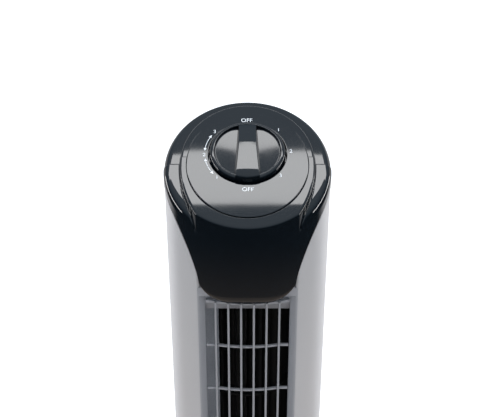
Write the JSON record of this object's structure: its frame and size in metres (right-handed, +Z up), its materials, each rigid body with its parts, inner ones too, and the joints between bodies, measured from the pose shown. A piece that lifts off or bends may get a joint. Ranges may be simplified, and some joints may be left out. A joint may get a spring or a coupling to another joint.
{
  "type": "tower fan",
  "caption": "Oscillating tower fan: silver column with a slatted air outlet, gloss black sloped top with a rotary control knob, cross-flow impeller inside, round pedestal base.",
  "frame": {"origin": "centre of the base on the floor, below the column's swivel axis", "axes": "+Z up along the column, -Y towards the front where the air comes out, +X to the right seen from the front"},
  "size_m": [0.23, 0.23, 0.7386],
  "materials": {
    "silver_housing": "satin metallic paint",
    "black_cover": "high gloss",
    "black_panel": "high gloss",
    "black_knob": "high gloss",
    "switch_body": "matt",
    "zinc_hardware": "zinc plated",
    "brass_contacts": "plain",
    "outlet_grey": "satin silver-grey",
    "black_grille": "satin",
    "grey_duct": "matt",
    "black_rubber": "matt",
    "bronze_bush": "oil filled sinter",
    "black_impeller": "satin",
    "motor_steel": "laminated",
    "copper_winding": "enamelled",
    "motor_shell": "zinc plated",
    "white_swivel": "natural acetal",
    "base_steel": "powder coated",
    "wire_sleeve": "braided sleeve"
  },
  "bodies": {
    "knob": {"knob": "black_knob", "switch_spindle": "switch_body"},
    "impeller": {"impeller": "black_impeller", "impeller_stub": "zinc_hardware", "motor_shaft": "zinc_hardware", "motor_rotor": "motor_steel"},
    "pinion": {"osc_pinion": "white_swivel"},
    "base": {"base_front": "black_cover", "base_rear": "black_cover", "base_plate": "base_steel", "base_weight": "base_steel", "base_screws": "zinc_hardware", "rubber_feet": "black_rubber", "cord_bush": "black_rubber", "base_wiring": "wire_sleeve", "swivel_deck": "black_cover", "deck_screws": "zinc_hardware", "swivel_gear": "white_swivel", "swivel_washer": "white_swivel"},
    "column": {"front_housing": "silver_housing", "rear_housing": "silver_housing", "front_top_cover": "black_cover", "rear_top_cover": "black_cover", "control_panel": "black_panel", "rotary_switch": "switch_body", "switch_nut": "zinc_hardware", "switch_terminals": "brass_contacts", "outlet_frame": "outlet_grey", "outlet_grille": "outlet_grey", "inlet_grille": "black_grille", "scroll_wall": "grey_duct", "vortex_wall": "grey_duct", "lower_plate": "grey_duct", "upper_plate": "grey_duct", "bearing_boot": "black_rubber", "upper_bearing": "bronze_bush", "motor_stator": "motor_steel", "motor_windings": "copper_winding", "motor_top_cover": "motor_shell", "motor_bottom_cover": "motor_shell", "motor_bearings": "bronze_bush", "motor_dampers": "black_rubber", "motor_screws": "zinc_hardware", "motor_capacitor": "switch_body", "housing_screws": "zinc_hardware", "column_floor": "grey_duct", "swivel_retainer": "white_swivel", "retainer_screws": "zinc_hardware", "osc_motor": "motor_shell", "wiring_harness": "wire_sleeve"}
  },
  "joints": [
    {"name": "column_swing", "type": "hinge", "parent": "base", "child": "column", "pos_m": [0, 0, 0.056], "axis": [0, 0, 1], "range_deg": [-35, 35]},
    {"name": "knob_turn", "type": "hinge", "parent": "column", "child": "knob", "pos_m": [0, 0.00314, 0.72364], "axis": [0, -0.309, 0.9511], "continuous": true},
    {"name": "impeller_spin", "type": "hinge", "parent": "column", "child": "impeller", "pos_m": [0, 0.008, 0.154], "axis": [0, 0, 1], "continuous": true},
    {"name": "pinion_turn", "type": "hinge", "parent": "column", "child": "pinion", "pos_m": [0, 0.045, 0.0565], "axis": [0, 0, 1], "range_deg": [-145, 145]}
  ],
  "couplings": [
    {"joint": "pinion_turn", "follows": "column_swing", "ratio": 4}
  ]
}
